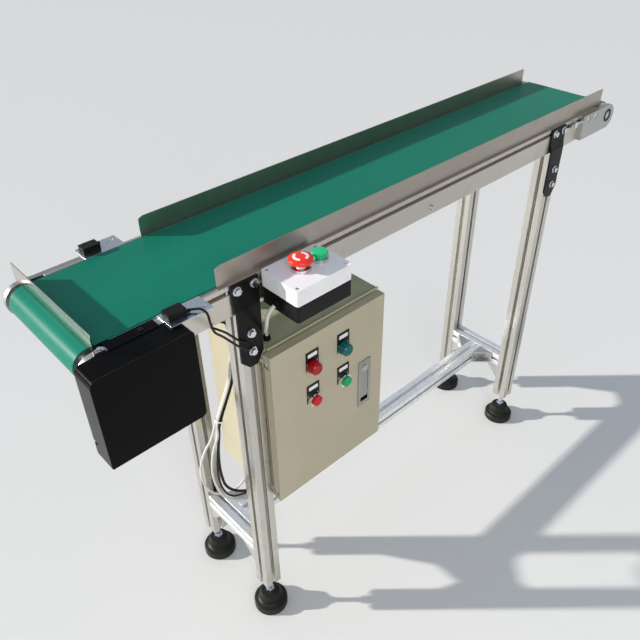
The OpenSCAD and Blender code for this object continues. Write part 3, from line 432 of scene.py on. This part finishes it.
def tube(name, line, radius, finish, body, sides=14):
    """Closed round tube along a line, with rings that don't twist."""
    mesh = bpy.data.meshes.new(name)
    build = bmesh.new()
    heading = (line[1] - line[0]).normalized()
    side = heading.orthogonal().normalized()
    rings = []
    for i, point in enumerate(line):
        ahead = (line[min(i + 1, len(line) - 1)] - line[max(i - 1, 0)]).normalized()
        side = (side - ahead * side.dot(ahead)).normalized()
        other = ahead.cross(side)
        angles = [2 * math.pi * k / sides for k in range(sides)]
        rings.append([build.verts.new(point + radius * (math.cos(a) * side + math.sin(a) * other))
                      for a in angles])
    for low, high in zip(rings, rings[1:]):
        for k in range(sides):
            face = build.faces.new((low[k], low[(k + 1) % sides], high[(k + 1) % sides], high[k]))
            face.smooth = True
    build.faces.new(list(reversed(rings[0])))
    build.faces.new(rings[-1])
    bmesh.ops.recalc_face_normals(build, faces=build.faces)
    build.to_mesh(mesh)
    build.free()
    return new_piece(name, mesh, finish, body)


# Cable routes, in millimetres from the middle between the legs.
CONTROL_ROUTE = [(-442, -169, 910), (-449, -168, 905), (-452, -162, 890), (-447, -150, 862),
                 (-434, -128, 832), (-419, -110, 812), (-415, -105, 800)]
SENSOR_ROUTE = [(-579, -139, 956), (-573, -144, 957), (-566, -151, 957), (-561, -158, 949),
                (-558, -158, 930), (-551, -155, 907), (-534, -150, 886), (-514, -148, 860),
                (-494, -147, 836), (-481, -145, 828), (-474, -139, 828), (-478, -133, 833),
                (-489, -132, 841), (-501, -129, 855), (-512, -124, 868), (-524, -115, 877),
                (-527, -101, 876), (-514, -86, 868), (-488, -73, 850), (-464, -68, 822),
                (-458, -68, 775), (-475, -71, 710), (-514, -71, 625), (-524, -72, 590),
                (-531, -71, 550), (-536, -70, 505), (-535, -70, 468), (-527, -71, 432),
                (-508, -71, 402), (-470, -70, 384), (-430, -62, 372), (-406, -60, 374),
                (-400, -60, 388)]
MOTOR_ROUTE = [(-576, -30, 842), (-548, -33, 845), (-510, -38, 852), (-476, -47, 846),
               (-456, -60, 820), (-456, -61, 775), (-473, -65, 708), (-512, -65, 624),
               (-518, -65, 590), (-524, -64, 550), (-527, -64, 505), (-525, -64, 468),
               (-518, -64, 436), (-498, -64, 405), (-465, -63, 378), (-425, -61, 362),
               (-390, -60, 360), (-376, -60, 371), (-374, -60, 388)]
TACHO_ROUTE = [(-576, -8, 842), (-548, -12, 848), (-508, -24, 858), (-476, -38, 852),
               (-465, -50, 828), (-461, -55, 775), (-480, -68, 711), (-519, -68, 627),
               (-528, -76, 600), (-544, -77, 565), (-552, -77, 521), (-550, -77, 487),
               (-544, -77, 456), (-531, -78, 423), (-500, -78, 388), (-460, -74, 366),
               (-415, -66, 350), (-370, -61, 348), (-350, -60, 364), (-348, -60, 388)]
GREY_ROUTE = [(-576, 14, 842), (-546, 10, 850), (-505, -6, 864), (-474, -26, 858),
              (-458, -43, 828), (-457, -49, 775), (-478, -62, 711), (-517, -62, 626),
              (-532, -59, 584), (-552, -58, 557), (-566, -58, 522), (-565, -58, 478),
              (-548, -58, 435), (-518, -58, 407), (-490, -58, 402), (-468, -58, 412),
              (-455, -58, 416)]


def cable(name, route, radius, slot, node):
    """Cable along a route, in place of its CAD solid."""
    points = [Vector(p) / 1000.0 + MIDDLE for p in route]
    line = smooth_line(points, 6)
    piece = tube(name, line, radius, FINISHES[slot], "frame")
    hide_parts(node)
    length = sum((b - a).length for a, b in zip(line, line[1:]))


def make_cables():
    cable("control_cable", CONTROL_ROUTE, 0.0035, "grey_cable", "control_cord")
    cable("sensor_cable", SENSOR_ROUTE, 0.0020, "black_rubber", "sensor_cord")
    cable("motor_cable", MOTOR_ROUTE, 0.0030, "black_rubber", "motor_cord")
    cable("grey_loop_cable", GREY_ROUTE, 0.0025, "grey_cable", "grey_cord")
    cable("tacho_cable", TACHO_ROUTE, 0.0025, "grey_cable", "tacho_cord")


make_cables()


# ------------------------------------------------------------------ small surface pieces
def label_piece(name, centre, width, height, finish, body, thick=0.6, corner=1.2, steps=5):
    """Thin plate with rounded corners and a softened front edge, facing the near side; millimetres."""
    base = Vector(centre) / 1000.0 + MIDDLE
    build = bmesh.new()
    loops = []
    for inset, depth in ((0.0, thick / 2), (0.0, -thick / 4), (0.15, -thick / 2)):
        loop = []
        for quarter, (sx, sz) in enumerate(((1, 1), (-1, 1), (-1, -1), (1, -1))):
            for k in range(steps + 1):
                angle = math.radians(90.0 * quarter + 90.0 * k / steps)
                x = sx * (width / 2 - corner) + (corner - inset) * math.cos(angle)
                z = sz * (height / 2 - corner) + (corner - inset) * math.sin(angle)
                loop.append(build.verts.new(base + Vector((x, depth, z)) / 1000.0))
        loops.append(loop)
    count = len(loops[0])
    for low, high in zip(loops, loops[1:]):
        for k in range(count):
            build.faces.new((low[k], low[(k + 1) % count], high[(k + 1) % count], high[k]))
    build.faces.new(loops[0])
    build.faces.new(list(reversed(loops[-1])))
    bmesh.ops.recalc_face_normals(build, faces=build.faces)
    mesh = bpy.data.meshes.new(name)
    build.to_mesh(mesh)
    build.free()
    return new_piece(name, mesh, finish, body)


def ring_piece(name, centre, axis, rings, finish, body, start=0.0, sweep=360.0, sides=64):
    """Closed band swept round an axis; rings are (radius, height) pairs in millimetres going round its section."""
    closed = sweep >= 360.0
    count = sides if closed else sides + 1
    build = bmesh.new()
    base = Vector(centre) / 1000.0 + MIDDLE
    loops = []
    for k in range(count):
        angle = math.radians(start + sweep * k / sides)
        loop = []
        for radius, height in rings:
            u, v, w = radius * math.cos(angle) / 1000.0, radius * math.sin(angle) / 1000.0, height / 1000.0
            loop.append(build.verts.new(base + (Vector((u, v, w)) if axis == "Z" else Vector((u, w, v)))))
        loops.append(loop)
    n = len(rings)
    for k in range(count if closed else count - 1):
        low, high = loops[k], loops[(k + 1) % count]
        for j in range(n):
            build.faces.new((low[j], low[(j + 1) % n], high[(j + 1) % n], high[j]))
    if not closed:
        build.faces.new(loops[0])
        build.faces.new(list(reversed(loops[-1])))
    bmesh.ops.recalc_face_normals(build, faces=build.faces)
    mesh = bpy.data.meshes.new(name)
    build.to_mesh(mesh)
    build.free()
    return new_piece(name, mesh, finish, body)


def small_pieces():
    label = moulded("label_white", (0.80, 0.81, 0.80), 0.5, 0.05)
    for x in (-347, -266):
        for z in (714, 632):
            label_piece(f"label_{-x}_{z}", (x, -150.7, z + 28.0), 23.0, 8.5, label, "door")
    for start in (100.0, 280.0):
        ring_piece(f"cap_mark_{int(start)}", (-382, -169, 965.5), "Z",
                   [(9.0, 13.7), (13.6, 13.2), (13.6, 13.6), (9.0, 14.15)], label, "emergency_cap",
                   start, 125.0, 24)
    seal = FINISHES["black_rubber"]
    for side in (-1, 1):
        ring_piece(f"tail_seal_{'near' if side < 0 else 'far'}", (680, side * 131.5, 923), "Y",
                   [(10.2, -0.4 * side), (15.2, -0.4 * side), (15.2, 0.2 * side), (10.2, 0.2 * side)],
                   seal, "tail_carriage")


small_pieces()


# ------------------------------------------------------------------ floor and light
def make_floor():
    mesh = bpy.data.meshes.new("floor")
    reach = 14.0
    corners = [(-reach, -reach, 0), (reach, -reach, 0), (reach, reach, 0), (-reach, reach, 0)]
    mesh.from_pydata(corners, [], [(0, 1, 2, 3)])
    floor = bpy.data.objects.new("floor", mesh)
    SCENE.collection.objects.link(floor)
    finish = Finish("floor_pale", Roughness=0.7)
    finish.set("Base Color", (0.70, 0.70, 0.69))
    mesh.materials.append(finish.material)


def area_light(name, place, target, size, power, colour=(1.0, 1.0, 1.0)):
    data = bpy.data.lights.new(name, "AREA")
    data.shape = "DISK"
    data.size = size
    data.energy = power
    data.color = colour
    light = bpy.data.objects.new(name, data)
    light.location = place
    light.rotation_euler = (Vector(target) - Vector(place)).to_track_quat("-Z", "Y").to_euler()
    SCENE.collection.objects.link(light)


def make_light():
    world = bpy.data.worlds.new("studio")
    world.use_nodes = True
    tree = world.node_tree
    back = tree.nodes["Background"]
    here = tree.nodes.new("ShaderNodeTexCoord")
    split = tree.nodes.new("ShaderNodeSeparateXYZ")
    ramp = tree.nodes.new("ShaderNodeValToRGB")
    tree.links.new(here.outputs["Generated"], split.inputs[0])
    tree.links.new(split.outputs["Z"], ramp.inputs[0])
    tree.links.new(ramp.outputs[0], back.inputs[0])
    stops = ramp.color_ramp.elements
    stops[0].position = 0.0
    stops[0].color = (0.56, 0.55, 0.52, 1.0)
    stops[1].position = 1.0
    stops[1].color = (0.38, 0.48, 0.66, 1.0)
    middle = stops.new(0.28)
    middle.color = (0.52, 0.51, 0.48, 1.0)
    back.inputs[1].default_value = 0.85
    SCENE.world = world
    sun = bpy.data.lights.new("sun", "SUN")
    sun.energy = 5.2
    sun.angle = math.radians(1.5)
    sun.color = (1.0, 0.96, 0.90)
    lamp = bpy.data.objects.new("sun", sun)
    lamp.rotation_euler = Vector((0.69, -0.64, -0.36)).to_track_quat("-Z", "Y").to_euler()
    SCENE.collection.objects.link(lamp)
    area_light("front", (-1.8, -3.0, 2.2), (0.0, 0.0, 0.6), 2.0, 42.0, (1.0, 0.97, 0.92))


make_floor()
make_light()
